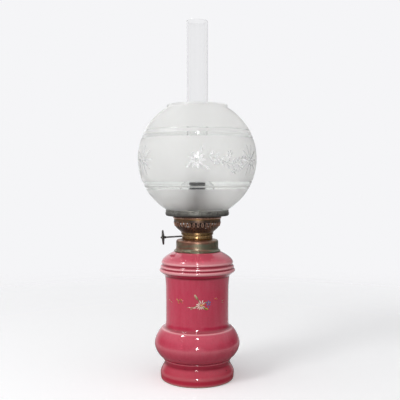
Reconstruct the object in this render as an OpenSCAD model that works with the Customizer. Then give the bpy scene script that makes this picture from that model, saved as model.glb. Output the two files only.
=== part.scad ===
// Oil table lamp: a glazed porcelain reservoir on its own foot, a brass collar,
// a round-wick burner with a pierced basket, a clear chimney and a ball shade.
// It stands on its foot ring at z = 0, with its axis on Z and the wick knob towards -X.

/* [Porcelain body] */
// Outer radius of the foot band
foot_r = 49.1; // [46:0.1:53]
// Height of the foot band
foot_h = 13; // [10:0.5:17]
// Width of the bare ring that the lamp stands on
foot_ring_w = 7; // [4:0.5:10]
// Depth of the hollow under the foot
recess_h = 7; // [3:0.5:9]
// Radius of the throat above the foot
throat_r = 43.5; // [40:0.1:45]
// Height of the throat
throat_h = 14.8; // [11:0.1:19]
// Radius of the bulge at its widest
bulge_r = 56.8; // [52:0.1:64]
// Height of the bulge
bulge_h = 40.6; // [35:0.1:50]
// Radius of the straight drum
drum_r = 41.8; // [39:0.1:44]
// Height of the drum, up to the lip
drum_h = 69.4; // [56:0.1:84]
// Radius of the lip moulding
lip_r = 50.4; // [47:0.1:54]
// Height of the flare under the lip
lip_rise = 7.2; // [5:0.1:9]
// Radius of the rounded edge of the lip
nose_r = 2.4; // [1.6:0.1:2.6]
// Rise of the domed shoulder from the top bead to the collar
shoulder_h = 12.9; // [10:0.1:16]
// Thickness of the porcelain
wall = 4.5; // [3.5:0.1:5.5]
// Thickness of the neck that the collar is cemented on
neck_wall = 4.2; // [3:0.1:5.5]

/* [Collar] */
// Height of the collar above the porcelain
collar_h = 16.4; // [14:0.1:20]
// How far the collar's skirt flares out
skirt_flare = 2.8; // [1.5:0.1:4]
// Radius of the collar's rounded top edge
cap_round = 3.1; // [2.6:0.1:4.4]
// Thickness of the plaster between neck and collar
plaster_t = 1.9; // [1:0.1:3]
// Thickness of the sheet brass
sheet = 0.6; // [0.5:0.05:0.8]
// Length of the screw fit between collar and burner
thread_h = 8; // [6:0.5:10]

/* [Burner] */
// Radius of the outer wick tube
wick_tube_r = 10.8; // [9.6:0.1:12]
// Wall of both wick tubes
tube_t = 0.5; // [0.4:0.05:0.7]
// Length of the outer tube below the collar's top
tube_drop = 10; // [6:0.5:16]
// Rise of the outer tube above the gallery floor
tube_rise = 47; // [40:0.5:54]
// Thickness of the wick
wick_t = 2; // [1.6:0.1:2.4]
// Length of wick that hangs in the oil below the outer tube
wick_tail = 130; // [90:5:150]
// Outer radius of the basket
basket_r = 31; // [29:0.1:34]
// Height of the basket
basket_h = 17.8; // [15:0.1:22]
// Thickness of the basket's brass
basket_t = 0.8; // [0.6:0.05:1]
// Number of columns of piercings round the basket
basket_cols = 34; // [24:1:36]
// Height of the rolled hoop on the basket's edge
hoop_h = 2.6; // [2:0.1:3.4]
// Height of the air window in the wick tubes
window_h = 8; // [6:0.5:10]
// Width of the air window
window_w = 8; // [6:0.5:9]

/* [Wick winder] */
// Radius of the wheels that lift the wick
wheel_r = 3.2; // [2.8:0.1:3.6]
// Number of teeth on each wheel
wheel_teeth = 14; // [10:1:18]
// Radius of the spindle
spindle_r = 1.1; // [0.9:0.05:1.3]
// How far the spindle droops towards the knob, in degrees
spindle_droop = 3.5; // [0:0.5:5]
// Distance of the knob from the lamp's axis
knob_reach = 46.4; // [40:0.2:52]
// Radius of the knob
knob_r = 10.1; // [8:0.1:12]
// Thickness of the knob at its middle
knob_t = 3.8; // [3:0.1:5]
// Thickness of the knob's rim
knob_rim_t = 2.2; // [1.2:0.1:2.8]

/* [Chimney] */
// Length of the chimney
chimney_l = 260; // [220:5:300]
// Radius of the chimney's foot
chimney_foot_r = 23; // [21.5:0.1:24.5]
// Gap between the wick tube and the chimney's upper tube, across the wall
flame_gap = 3.2; // [2.6:0.1:4]
// Thickness of the chimney glass
chimney_t = 1.6; // [1.2:0.1:2]
// Number of spring fingers that hold the chimney
finger_count = 16; // [12:1:20]
// Height of the spring fingers with their band
finger_h = 13; // [10:0.5:16]

/* [Ball shade] */
// Outer radius of the ball
ball_r = 78.5; // [70:0.1:90]
// Outer radius of the ball's necks
fitter_r = 40; // [38:0.5:43]
// Thickness of the shade's glass
ball_t = 2.4; // [2:0.1:3.2]
// Height of the lower neck that stands in the shade ring
lower_neck_h = 6.9; // [6.4:0.1:9]
// Height of the upper neck
upper_neck_h = 3.5; // [2:0.1:6]
// Height of the shade ring's outer wall
ring_wall_h = 7.8; // [6:0.1:8]
// Rise of the shade ring from the hoop to its floor
ring_rise = 1; // [0.8:0.1:2]

/* [Hidden] */
$fn = 96;

// Clearances
fixed_gap = 0.02;
run_gap = 0.05;
soft_gap = 0.25;
touch_gap = 0.3;
cut = 1;

// Heights up the porcelain
nose_to_fillet = 4.7;
fillet_to_bead = 5.9;
bead_to_shoulder = 1.1;
z_bulge = foot_h + throat_h;
z_drum = z_bulge + bulge_h;
z_lip = z_drum + drum_h;
z_nose = z_lip + lip_rise;
z_fillet = z_nose + nose_to_fillet;
z_bead = z_fillet + fillet_to_bead;
z_shoulder = z_bead + bead_to_shoulder;
z_collar = z_shoulder + shoulder_h;
z_floor = recess_h + wall;

// Foot band: how far its underside and its top edge lie inside its radius
foot_inset = 2.2;
foot_side_h = foot_h * 0.28;
foot_widest_h = foot_h * 0.72;
throat_mid = foot_h + throat_h * 0.6;
recess_draft = 1.5;

// Bulge: its widest height, and where it meets the throat and the drum
bulge_mid = z_bulge + bulge_h * 0.488;
bulge_rise = 6.6;
bulge_fall = 7.2;
roll_r = 0.9;
ledge_r = drum_r + 5;
ledge_w = 1.8;
drum_cove = 9;

// Lip, fillet and top bead under the shoulder
drum_flare = 1.3;
lip_flare_h = 19.8;
fillet_r = 1.6;
lip_c = lip_r - nose_r;
fillet_c = lip_r - 1.4 - fillet_r;
bead_c = lip_r - 2.6 - fillet_r;
neck_bevel = 0.6;

// Wick, tubes and wheels, from the axis outwards
wick_out_r = wick_tube_r - tube_t - soft_gap;
wick_in_r = wick_out_r - wick_t;
draught_r = wick_in_r - soft_gap;
axis_y = wick_out_r + touch_gap + wheel_r;
housing_t = 0.5;
wheel_t = 0.8;
wheel_x = 2.9;
housing_half = wheel_x + wheel_t / 2 + touch_gap + housing_t + 0.9;
housing_back = axis_y + wheel_r + touch_gap + housing_t;

// Screw fit, neck and collar, from the housing outwards
screw_t = 0.8;
screw_in_r = norm([housing_half, housing_back]) + touch_gap;
thread_r = screw_in_r + screw_t;
thread_ring_t = 1.5;
thread_out_r = thread_r + run_gap + thread_ring_t;
neck_in_r = thread_out_r + 0.5;
neck_out_r = neck_in_r + neck_wall;
collar_r = neck_out_r + plaster_t + sheet;
skirt_r = collar_r + skirt_flare;
skirt_h = 5.6;
skirt_edge_h = 1.5;
shoulder_r = skirt_r - 1.5;
shoulder_lift = 1.8;
z_seat = z_collar + collar_h;
z_neck = z_seat - cap_round - 0.8;

// Burner heights and its spindle's line
flange_t = 0.4;
sleeve_t = 0.5;
sleeve_in_r = spindle_r + run_gap;
sleeve_r = sleeve_in_r + sleeve_t;
waist_r = thread_r + 1.8;
band_r = waist_r + 0.2;
band_t = 1.6;
axis_z = z_seat + flange_t + sleeve_r + 0.1 + waist_r * sin(spindle_droop);
deck_t = 0.8;
z_deck = axis_z + wheel_r + 0.97 + housing_t;
z_basket = z_deck + deck_t;
basket_foot_r = waist_r + 0.1;
basket_foot_w = 4;
floor_t = 0.8;
z_gallery = z_basket + basket_h;
z_hoop = z_gallery + floor_t;
band_z = z_gallery - 3.4;
hoop_r = basket_r + 1.3;
hoop_w = 2.6;
z_ring = z_hoop + hoop_h;
z_tube = z_hoop + tube_rise;
window_z = z_basket + 3.2;
duct_t = 0.5;

// Chimney and shade
tube_r = wick_tube_r + flame_gap;
z_chimney_top = z_hoop + chimney_l;
finger_t = 0.5;
finger_r = chimney_foot_r + soft_gap;
ring_t = 0.7;
ring_in_r = hoop_r - 2.2;
ring_floor_in = fitter_r - 3.4;
ring_wall_r = fitter_r + 1.6;
ring_bead_r = 0.8;
z_ball_foot = z_ring + ring_rise + ring_t;
ball_inset = sqrt(ball_r * ball_r - fitter_r * fitter_r);
z_ball = z_ball_foot + lower_neck_h + ball_inset;

// Travel of the wick, up and down from rest
wick_down = 10.2;
wick_proud = 0.4;

// Points on an arc, with the first one left out
function arc(c, r, a0, a1, n = 6) =
    [for (i = [1:n]) let (a = a0 + (a1 - a0) * i / n) c + r * [cos(a), sin(a)]];

// Points on a cubic curve from p to t, with the first one left out
function curve(p, q, s, t, n = 7) =
    [for (i = [1:n]) let (u = i / n, v = 1 - u) v * v * v * p + 3 * v * v * u * q + 3 * v * u * u * s + u * u * u * t];

function flip(list) = [for (i = [len(list) - 1:-1:0]) list[i]];

// Turns a sheet between its outer and its inner line round the lamp's axis
module turned_sheet(outer, inner) {
    rotate_extrude() polygon(concat(outer, flip(inner)));
}

module ring(r_out, r_in, h) {
    difference() {
        cylinder(r = r_out, h = h);
        translate([0, 0, -cut]) cylinder(r = r_in, h = h + 2 * cut);
    }
}

// Puts children on the spindle's line: their +Z runs outwards to the knob
module on_spindle(s = 0) {
    translate([0, axis_y, axis_z]) rotate([0, -90 - spindle_droop, 0]) translate([0, 0, s]) children();
}

// Outside of the porcelain, from the foot ring up to the neck
function foot_line() =
    let (sole = [foot_r - foot_inset, 0], side = [foot_r - 0.3, foot_side_h], widest = [foot_r, foot_widest_h],
        throat = [throat_r, throat_mid], roll = [throat_r + 1.5, z_bulge + 0.4])
    concat(
        [sole],
        curve(sole, sole + [1.2, 0.3], side - [0, 2], side, 4),
        curve(side, side + [0, 2], widest - [0, 2], widest, 3),
        curve(widest, widest + [0, 3.4], throat + [1.3, -4], throat, 9),
        curve(throat, throat + [0, 2.4], roll + [-0.6, -2.4], roll + roll_r * [cos(60), -sin(60)], 4),
        arc(roll, roll_r, -40, 50, 4));

function bulge_line() =
    let (start = [throat_r + 2.3, z_bulge + 1.7], widest = [bulge_r, bulge_mid],
        ledge = [ledge_r, z_drum], cove_foot = ledge + [-ledge_w, 0.4], cove = [drum_r, z_drum + drum_cove])
    concat(
        [start],
        curve(start, start + [5.2, 1.7], widest - [0, bulge_rise], widest, 9),
        curve(widest, widest + [0, bulge_fall], ledge + [4.6, -4], ledge, 9),
        [cove_foot],
        curve(cove_foot, cove_foot + [-2, 0.5], cove - [0, 5], cove, 6));

function lip_line() =
    let (flare = [drum_r, z_lip - lip_flare_h], neck = [drum_r + drum_flare, z_lip],
        edge = [lip_c + 0.2, z_nose - nose_r])
    concat(
        [flare],
        curve(flare, flare + [0, 8], neck - [0.6, 5.8], neck, 5),
        curve(neck, neck + [0.6, 1.6], edge - [2.2, 2.7], edge, 5),
        arc([lip_c, z_nose], nose_r, -70, 75, 8),
        [[lip_c + 0.3, z_nose + 2.9]],
        arc([fillet_c, z_fillet], fillet_r, -60, 60, 6),
        [[bead_c + 0.6, z_bead - 2.7]],
        arc([bead_c, z_bead], fillet_r, -60, 40, 5));

function shoulder_line() =
    let (start = [bead_c + 1.2, z_shoulder], end = [shoulder_r, z_collar + 0.4])
    concat(
        curve(start, start + [-1, 3.8], end + [9.9, -4.3], end, 9),
        [[neck_out_r, z_collar + shoulder_lift], [neck_out_r, z_neck - neck_bevel],
            [neck_out_r - neck_bevel, z_neck]]);

// Inside of the reservoir, from its floor up to the neck
function reservoir_line() =
    let (throat_in = throat_r - wall, bulge_in = bulge_r - wall, drum_in = drum_r - wall,
        floor_edge = [throat_in - 2, z_floor], waist = [throat_in, z_bulge - 1], widest = [bulge_in, bulge_mid - 1],
        drum = [drum_in, z_drum + 2], shoulder = [drum_in, z_lip + 4], neck = [neck_in_r, z_collar - 1.5])
    concat(
        [[0, z_floor], floor_edge],
        curve(floor_edge, floor_edge + [1.5, 0.4], floor_edge + [2, 1.5], [throat_in, z_floor + 4], 4),
        [waist],
        curve(waist, waist + [6, 7], widest - [0, 11], widest, 7),
        curve(widest, widest + [0, 7], drum - [0, 9], drum, 7),
        [shoulder],
        curve(shoulder, [drum_in, z_shoulder + 1], neck + [6, -wall - 1], neck, 7),
        [[neck_in_r, z_neck]]);

// Slip-cast reservoir with its foot, mouldings and neck in one piece
module porcelain_body() {
    foot_in = foot_r - foot_inset - foot_ring_w;
    color("#c4566b") rotate_extrude() polygon(concat(
        [[0, recess_h], [foot_in - recess_draft, recess_h], [foot_in, 0]],
        foot_line(), bulge_line(), lip_line(), shoulder_line(),
        flip(reservoir_line())));
}

// Top of the collar at a depth below its outer skin, from its straight side to its hole
cap_c = [collar_r - cap_round, z_seat - 0.6 - cap_round];
function cap_line(depth) = concat(
    [[collar_r - depth, cap_c.y]],
    arc(cap_c, cap_round - depth, 0, 84, 7),
    [[thread_out_r + fixed_gap, z_seat - depth]]);

// Plaster that fills the space between the neck and the collar
z_plaster = z_collar + shoulder_lift + 0.2;
module plaster_bed() {
    color("#d8d2c4") rotate_extrude() polygon(concat(
        [[neck_out_r + fixed_gap, z_plaster], [collar_r - sheet - fixed_gap, z_plaster]],
        cap_line(sheet + fixed_gap),
        [[thread_out_r + fixed_gap, z_neck + fixed_gap], [neck_out_r - neck_bevel, z_neck + fixed_gap],
            [neck_out_r + fixed_gap, z_neck - neck_bevel]]));
}

// Flared skirt of the collar at a depth below its outer skin
function skirt_line(depth) =
    let (edge = [skirt_r - depth, z_collar + skirt_edge_h], top = [collar_r - depth, z_collar + skirt_h])
    concat(
        [[skirt_r - depth, z_collar], edge],
        curve(edge, edge + [-0.9, 0.4], top + [0.2, -3], top, 6));

// Spun brass cap that covers the neck, with a flared skirt
module collar_cap() {
    color("#7a6a48") turned_sheet(
        concat(skirt_line(0), cap_line(0)),
        concat(skirt_line(sheet), cap_line(sheet)));
}

// Brass ring in the collar's mouth that the burner screws into
module collar_thread_ring() {
    color("#a8863f") translate([0, 0, z_seat - thread_h - 1])
        ring(thread_out_r, thread_r + run_gap, thread_h + 1);
}

// Moulded waist of the burner: a rounded band, a groove and an upper band
module burner_waist() {
    band_top = z_seat + (z_basket - z_seat) * 0.57;
    band_mid = (z_seat + band_top) / 2;
    groove = 0.6;
    low = [waist_r - 1.3, z_seat];
    high = [waist_r - 1.3, band_top];
    belly = waist_r - 0.3;
    skin = concat(
        [low],
        curve(low, [belly, band_mid - 1.2], [belly, band_mid + 1.2], high, 6),
        [[waist_r - 1.3, band_top + groove], [band_r - 0.3, band_top + groove + 0.3],
            [band_r, band_top + groove + 0.7], [band_r, z_basket - 0.6], [basket_foot_r, z_basket]]);
    color("#b3914a") difference() {
        rotate_extrude() polygon(concat(
            [[screw_in_r, z_seat]], skin,
            [[band_r - band_t, z_basket], [band_r - band_t, z_seat + flange_t], [screw_in_r, z_seat + flange_t]]));
        on_spindle() cylinder(r = sleeve_r + fixed_gap, h = waist_r + cut);
    }
}

// Screwed ring under the waist that holds the burner in the collar
module burner_screw_ring() {
    color("#a8863f") translate([0, 0, z_seat - thread_h]) ring(thread_r, screw_in_r, thread_h);
}

// Plate that closes the burner over the oil and carries the wick tube
module burner_deck() {
    color("#9c7d40") translate([0, 0, z_deck])
        ring(band_r - band_t - fixed_gap, wick_tube_r + fixed_gap, deck_t);
}

// Line of the basket at a depth below its skin, from its foot to its straight top band
function basket_line(depth) =
    let (foot = [basket_foot_r - depth, z_basket + depth * 0.6], band = [basket_r - depth, band_z])
    concat(
        [foot],
        curve(foot, foot + [0.65, 2.75 - depth * 0.2], band - [1.1, 9.9], band, 10),
        [[basket_r - depth, z_gallery]]);

// Rows of piercings: height up the basket, turn in pitches, width and height of a hole
basket_rows = [
    [0.73, 0.25, 2.1, 2.8],
    [0.54, 0.25, 2.5, 2.7],
    [0.41, 0.75, 2.3, 2.3],
    [0.29, 0.25, 2.1, 2.1],
    [0.17, 0.75, 1.8, 1.7]
];

module lozenge(w, h) {
    polygon([[-h / 2, 0], [0, -w / 2], [h / 2, 0], [0, w / 2]]);
}

module slot_hole(w, h) {
    square([h, w], center = true);
}

// One ring of holes cut from the axis outwards
module piercings(row) {
    pitch = 360 / basket_cols;
    for (k = [0:basket_cols - 1])
        rotate([0, 0, (k + row[1]) * pitch]) translate([basket_r * 0.5, 0, z_basket + row[0] * basket_h])
            rotate([0, 90, 0]) linear_extrude(basket_r * 0.6)
                if (row[0] == basket_rows[0][0]) slot_hole(row[2], row[3]);
                else lozenge(row[2], row[3]);
}

// Pierced air basket, drawn from sheet and punched in five rows
module burner_basket() {
    foot_in = basket_foot_r - basket_foot_w;
    color("#5b4632") difference() {
        rotate_extrude() polygon(concat(
            [[foot_in, z_basket]], basket_line(0), flip(basket_line(basket_t)), [[foot_in, z_basket + 0.5]]));
        for (row = basket_rows) piercings(row);
    }
}

// Rolled hoop on the basket's edge, which carries the shade ring
module basket_hoop() {
    roll = hoop_h / 3;
    edge_r = hoop_r - roll;
    color("#7d6238") rotate_extrude() polygon(concat(
        [[hoop_r - hoop_w, z_hoop], [edge_r, z_hoop]],
        arc([edge_r, z_hoop + hoop_h / 2], roll, -60, 60, 6),
        [[edge_r, z_ring], [hoop_r - hoop_w, z_ring]]));
}

// Pierced plate that the chimney stands on
module gallery_floor() {
    inner_ring_r = wick_tube_r + 4;
    outer_ring_r = (finger_r + finger_t + basket_r) / 2;
    large = 1.3;
    small = 0.9;
    color("#80683c") translate([0, 0, z_gallery]) difference() {
        ring(basket_r, wick_tube_r + fixed_gap, floor_t);
        hole_circle(16, inner_ring_r, large);
        rotate([0, 0, 360 / 32]) hole_circle(16, inner_ring_r + 3.7, large);
        hole_circle(32, outer_ring_r, small);
    }
}

// Evenly spaced holes through the gallery floor
module hole_circle(count, circle_r, hole_r) {
    for (k = [0:count - 1]) rotate([0, 0, k * 360 / count]) translate([circle_r, 0, -cut])
        cylinder(r = hole_r, h = floor_t + 2 * cut);
}

// Band with spring fingers that grip the chimney's foot
module chimney_gallery() {
    band_h = 3.5;
    slit = 1.2;
    belly = 1;
    lead_in = 0.9;
    profile = [[0, 0], [0, band_h], [belly, finger_h * 0.55], [0, finger_h * 0.85], [lead_in, finger_h]];
    inner = [for (p = profile) p + [finger_r, z_hoop]];
    outer = [for (p = inner) p + [finger_t, 0]];
    color("#7a6238") difference() {
        rotate_extrude() polygon(concat(outer, flip(inner)));
        for (k = [0:finger_count - 1]) rotate([0, 0, k * 360 / finger_count])
            translate([finger_r - 1, -slit / 2, z_hoop + band_h]) cube([4, slit, finger_h]);
    }
}

// A box that spans the air window, at the front of the wick tubes
module window_box(margin) {
    translate([-window_w / 2 - margin, -wick_tube_r - cut, window_z - margin])
        cube([window_w + 2 * margin, wick_tube_r + cut, window_h + 2 * margin]);
}

// Outer wick tube, open to the wheels behind and to the air in front
module outer_wick_tube() {
    z_foot = z_seat - tube_drop;
    color("#a08548") difference() {
        translate([0, 0, z_foot]) ring(wick_tube_r, wick_tube_r - tube_t, z_tube - z_foot);
        window_box(0);
        translate([-housing_half + housing_t, 0, axis_z - wheel_r - touch_gap])
            cube([2 * (housing_half - housing_t), wick_tube_r + cut, 2 * (wheel_r + touch_gap)]);
    }
}

// Inner tube that feeds air to the middle of the flame, closed at its foot
draught_drop = 0.6;
module draught_tube() {
    z_foot = window_z - 1.3;
    floor_h = 0.8;
    color("#a08548") difference() {
        translate([0, 0, z_foot]) cylinder(r = draught_r, h = z_tube - draught_drop - z_foot);
        translate([0, 0, z_foot + floor_h]) cylinder(r = draught_r - tube_t, h = z_tube);
        window_box(0);
    }
}

// Short channel that joins the two tubes round the air window
module air_duct() {
    color("#a08548") intersection() {
        difference() {
            window_box(duct_t);
            window_box(0);
        }
        translate([0, 0, window_z - 2]) ring(wick_tube_r - tube_t - fixed_gap, draught_r + fixed_gap, window_h + 4);
    }
}

// Sheet box behind the wick tube that holds the wheels
module wheel_housing() {
    z_low = axis_z - wheel_r - touch_gap - housing_t;
    inner_half = housing_half - housing_t;
    color("#94783f") difference() {
        translate([-housing_half, 0, z_low]) cube([2 * housing_half, housing_back, z_deck - z_low]);
        translate([-inner_half, -cut, z_low + housing_t])
            cube([2 * inner_half, housing_back - housing_t + cut, z_deck - z_low - 2 * housing_t]);
        translate([0, 0, z_low - cut]) cylinder(r = wick_tube_r + fixed_gap, h = z_deck - z_low + 2 * cut);
        on_spindle(-housing_half - cut) cylinder(r = sleeve_in_r, h = housing_half + cut);
        on_spindle() cylinder(r = sleeve_in_r, h = housing_half + cut);
    }
}

// Sleeve that carries the spindle through the waist
sleeve_proud = 0.8;
module spindle_sleeve() {
    s0 = (housing_half + fixed_gap + sleeve_r * sin(spindle_droop)) / cos(spindle_droop);
    s1 = sqrt(waist_r * waist_r - pow(axis_y - sleeve_r, 2)) + sleeve_proud;
    color("#94783f") on_spindle(s0) ring(sleeve_r, sleeve_in_r, s1 - s0);
}

// Spindle from the housing's far side to the knob, with a shoulder that the knob sits against
module winder_spindle() {
    inner_end = housing_half + 0.6;
    knob_face = knob_reach - knob_t / 2;
    shoulder_l = 2;
    color("#3b3632") {
        on_spindle(-inner_end) cylinder(r = spindle_r, h = knob_face + inner_end);
        on_spindle(knob_face - shoulder_l) cylinder(r = spindle_r + 0.6, h = shoulder_l);
    }
}

// One tooth, with a flat tip: turn in pitches and share of the wheel's radius
wheel_tooth = [[-0.3, 0.72], [-0.08, 1], [0.08, 1], [0.3, 0.72]];
function wheel_points() = [
    for (k = [0:wheel_teeth - 1], p = wheel_tooth)
        let (a = (k + p[0]) * 360 / wheel_teeth) wheel_r * p[1] * [cos(a), sin(a)]];

// Two toothed wheels on the spindle that grip the back of the wick
module wick_wheels() {
    color("#6d5a35") for (side = [-1, 1])
        on_spindle(side * wheel_x - wheel_t / 2) difference() {
            linear_extrude(wheel_t) polygon(wheel_points());
            translate([0, 0, -cut]) cylinder(r = spindle_r + fixed_gap, h = wheel_t + 2 * cut);
        }
}

// Round knob: two domed discs crimped together at a rounded rim, with a hole for the spindle's end
rivet_r = spindle_r * 0.7;
module knob_disc() {
    half = knob_t / 2;
    edge = knob_rim_t / 2;
    boss_r = spindle_r + 1.2;
    hole_r = rivet_r + fixed_gap;
    flank = [knob_r - edge - 0.4, edge];
    crown = [boss_r, half];
    dome = curve(flank, flank + [-1.8, 0], crown + [2.6, -0.2], crown, 6);
    color("#4b443c") on_spindle(knob_reach) rotate_extrude() polygon(concat(
        [[hole_r, -half]], flip([for (p = dome) [p.x, -p.y]]), [[flank.x, -edge]],
        arc([knob_r - edge, 0], edge, -90, 90, 8),
        [flank], dome, [[hole_r, half]]));
}

// End of the spindle, riveted over in front of the knob
module knob_rivet() {
    half = knob_t / 2;
    dome = 1.5;
    color("#4b443c") on_spindle(knob_reach) rotate_extrude() polygon(concat(
        [[0, -half], [rivet_r, -half], [rivet_r, half], [dome, half]],
        arc([0, half], dome, 0, 90, 6)));
}

// Round wick: a cotton band curled round the draught tube, open in front below the air duct
module wick() {
    z_top = z_tube + wick_proud;
    z_low = z_seat - tube_drop - wick_tail;
    z_slit = window_z + window_h + duct_t + touch_gap + wick_down;
    gap = window_w / 2 + duct_t + touch_gap;
    color("#e6dfcb") difference() {
        translate([0, 0, z_low]) ring(wick_out_r, wick_in_r, z_top - z_low);
        translate([-gap, -wick_tube_r, z_low - cut]) cube([2 * gap, wick_tube_r, z_slit - z_low + cut]);
    }
}

// Line of the shade ring at a depth above its underside: from its hole over the hoop and up its bowed wall
ring_z = z_ring + ring_rise;
function ring_line(depth) =
    let (corner = [fitter_r + 0.2, ring_z + depth], middle = [ring_wall_r + ring_t - depth, ring_z + ring_wall_h * 0.45],
        neck = middle + [-0.8, ring_wall_h * 0.32])
    concat(
        [[ring_in_r, z_ring + depth], [hoop_r, z_ring + depth], [ring_floor_in, ring_z + depth], corner],
        curve(corner, corner + [1.3, 0], middle - [0, 1.8], middle, 5),
        curve(middle, middle + [0, 1.4], neck + [0.2, -0.8], neck, 3));

// Dished ring that carries the ball shade on the burner's hoop, with a rolled edge
module shade_ring() {
    roll = [fitter_r + 1.3, ring_z + ring_wall_h - ring_bead_r];
    color("#3d3a35") rotate_extrude() polygon(concat(
        ring_line(0), arc(roll, ring_bead_r, -30, 170, 8), flip(ring_line(ring_t))));
}

// Line of the ball from its lower neck to its upper one, at a depth below the skin
ball_cove = 0.9;
function ball_line(depth) =
    let (r = ball_r - depth, neck = fitter_r - depth, a = acos((neck + ball_cove) / r),
        z_top = z_ball + ball_inset + upper_neck_h)
    concat(
        [[neck, z_ball_foot], [neck, z_ball - r * sin(a) - ball_cove]],
        [[r * cos(a), z_ball - r * sin(a)]],
        arc([0, z_ball], r, -a, a, 36),
        [[neck, z_ball + r * sin(a) + ball_cove], [neck, z_top]]);

// Ball shade of frosted glass, open at both necks
module ball_shade() {
    color("#dfe3e4", 0.75) turned_sheet(ball_line(0), ball_line(ball_t));
}

// Line of the chimney at a depth below its skin: a wide foot, drawn in at the flame to a long straight tube
function chimney_line(depth) =
    let (foot = [chimney_foot_r - depth, z_tube - 7], tube = [tube_r - depth, z_tube + 12])
    concat(
        [[foot.x, z_hoop], foot],
        curve(foot, foot + [0, 7.5], tube - [0.6, 12], tube, 10),
        [[tube.x, z_chimney_top]]);

// Clear glass chimney
module chimney() {
    color("#e8f0f2", 0.35) turned_sheet(chimney_line(0), chimney_line(chimney_t));
}

porcelain_body();
plaster_bed();
collar_cap();
collar_thread_ring();
burner_waist();
burner_screw_ring();
burner_deck();
burner_basket();
basket_hoop();
gallery_floor();
chimney_gallery();
outer_wick_tube();
draught_tube();
air_duct();
wheel_housing();
spindle_sleeve();
winder_spindle();
wick_wheels();
knob_disc();
knob_rivet();
wick();
shade_ring();
ball_shade();
chimney();
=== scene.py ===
import math

import bmesh
import bpy
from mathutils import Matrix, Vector


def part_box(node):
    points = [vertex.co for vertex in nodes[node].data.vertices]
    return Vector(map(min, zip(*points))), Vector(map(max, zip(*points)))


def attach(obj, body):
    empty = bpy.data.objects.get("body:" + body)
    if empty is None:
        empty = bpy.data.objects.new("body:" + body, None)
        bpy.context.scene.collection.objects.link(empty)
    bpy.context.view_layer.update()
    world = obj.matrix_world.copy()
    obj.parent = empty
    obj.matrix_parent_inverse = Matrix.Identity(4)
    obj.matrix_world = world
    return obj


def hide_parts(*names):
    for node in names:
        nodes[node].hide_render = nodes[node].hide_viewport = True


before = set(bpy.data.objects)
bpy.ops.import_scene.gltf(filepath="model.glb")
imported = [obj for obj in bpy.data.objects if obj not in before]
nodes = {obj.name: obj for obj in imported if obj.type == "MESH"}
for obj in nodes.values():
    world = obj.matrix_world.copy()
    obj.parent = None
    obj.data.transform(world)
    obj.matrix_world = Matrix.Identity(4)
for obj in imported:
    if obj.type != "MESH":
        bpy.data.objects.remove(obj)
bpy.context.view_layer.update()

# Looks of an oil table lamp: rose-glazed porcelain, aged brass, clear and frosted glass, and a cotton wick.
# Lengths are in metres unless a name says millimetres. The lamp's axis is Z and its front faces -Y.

MM = 0.001


# Colours and nodes

def paint(code):
    """Linear colour of an sRGB hex value."""
    values = [int(code[i:i + 2], 16) / 255 for i in (1, 3, 5)]
    return [v / 12.92 if v <= 0.04045 else ((v + 0.055) / 1.055) ** 2.4 for v in values] + [1]


def put(tree, kind, inputs=None, **settings):
    """Adds a node with its settings, and fills its inputs with values or with other nodes' sockets."""
    node = tree.nodes.new(kind)
    for key, value in settings.items():
        setattr(node, key, value)
    for key, value in (inputs or {}).items():
        if isinstance(value, bpy.types.NodeSocket):
            tree.links.new(value, node.inputs[key])
        else:
            node.inputs[key].default_value = value
    return node


def new_finish(name):
    """An empty material with its output node."""
    made = bpy.data.materials.new(name)
    made.use_nodes = True
    made.node_tree.nodes.clear()
    output = put(made.node_tree, "ShaderNodeOutputMaterial")
    return made, made.node_tree, output


def wear(node, made):
    """Gives a CAD node a material."""
    mesh = nodes[node].data
    mesh.materials.clear()
    mesh.materials.append(made)


# Turned shapes, read from the seam of a CAD node

SEAM = 1e-6


def seam_profile(node):
    """Corners (radius, height) of a turned CAD node in order, and whether they close."""
    mesh = nodes[node].data
    links = {}
    for edge in mesh.edges:
        ends = [mesh.vertices[i].co for i in edge.vertices]
        if any(abs(p.y) > SEAM or p.x < -SEAM for p in ends):
            continue
        a, b = [(round(p.x, 6), round(p.z, 6)) for p in ends]
        if a != b:
            links.setdefault(a, set()).add(b)
            links.setdefault(b, set()).add(a)
    loose = [p for p in links if len(links[p]) == 1]
    here = min(loose or links, key=lambda p: (p[1], p[0]))
    line = [here]
    while True:
        onward = [p for p in sorted(links[here]) if p not in line[-2:] and (p != line[0] or len(line) > 2)]
        if not onward or onward[0] == line[0]:
            break
        here = onward[0]
        line.append(here)
    points = [Vector(p) for p in line]
    closed = not loose
    kept = []
    for i, p in enumerate(points):
        if closed or 0 < i < len(points) - 1:
            before = p - points[i - 1]
            after = points[(i + 1) % len(points)] - p
            if before.length > 0 and after.length > 0 and before.angle(after) < math.radians(0.3):
                continue
        kept.append(p)
    if not closed:
        # A flat disc has no corner on the axis, so the profile is led on to it
        kept = [Vector((0, kept[0].y))] * (kept[0].x > SEAM) + kept + [Vector((0, kept[-1].y))] * (kept[-1].x > SEAM)
    return kept, closed


def stretches(points, closed, crisp):
    """Splits a profile at the corners that turn by more than crisp degrees."""
    count = len(points)

    def turn(i):
        before = points[i] - points[i - 1]
        after = points[(i + 1) % count] - points[i]
        return math.degrees(before.angle(after))

    if closed:
        corners = [i for i in range(count) if turn(i) > crisp]
        order = [points[(corners[0] + k) % count] for k in range(count)] + [points[corners[0]]]
    else:
        order = points
    parts = [[order[0]]]
    for i in range(1, len(order) - 1):
        parts[-1].append(order[i])
        before = order[i] - order[i - 1]
        after = order[i + 1] - order[i]
        if math.degrees(before.angle(after)) > crisp:
            parts.append([order[i]])
    parts[-1].append(order[-1])
    return parts


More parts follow.
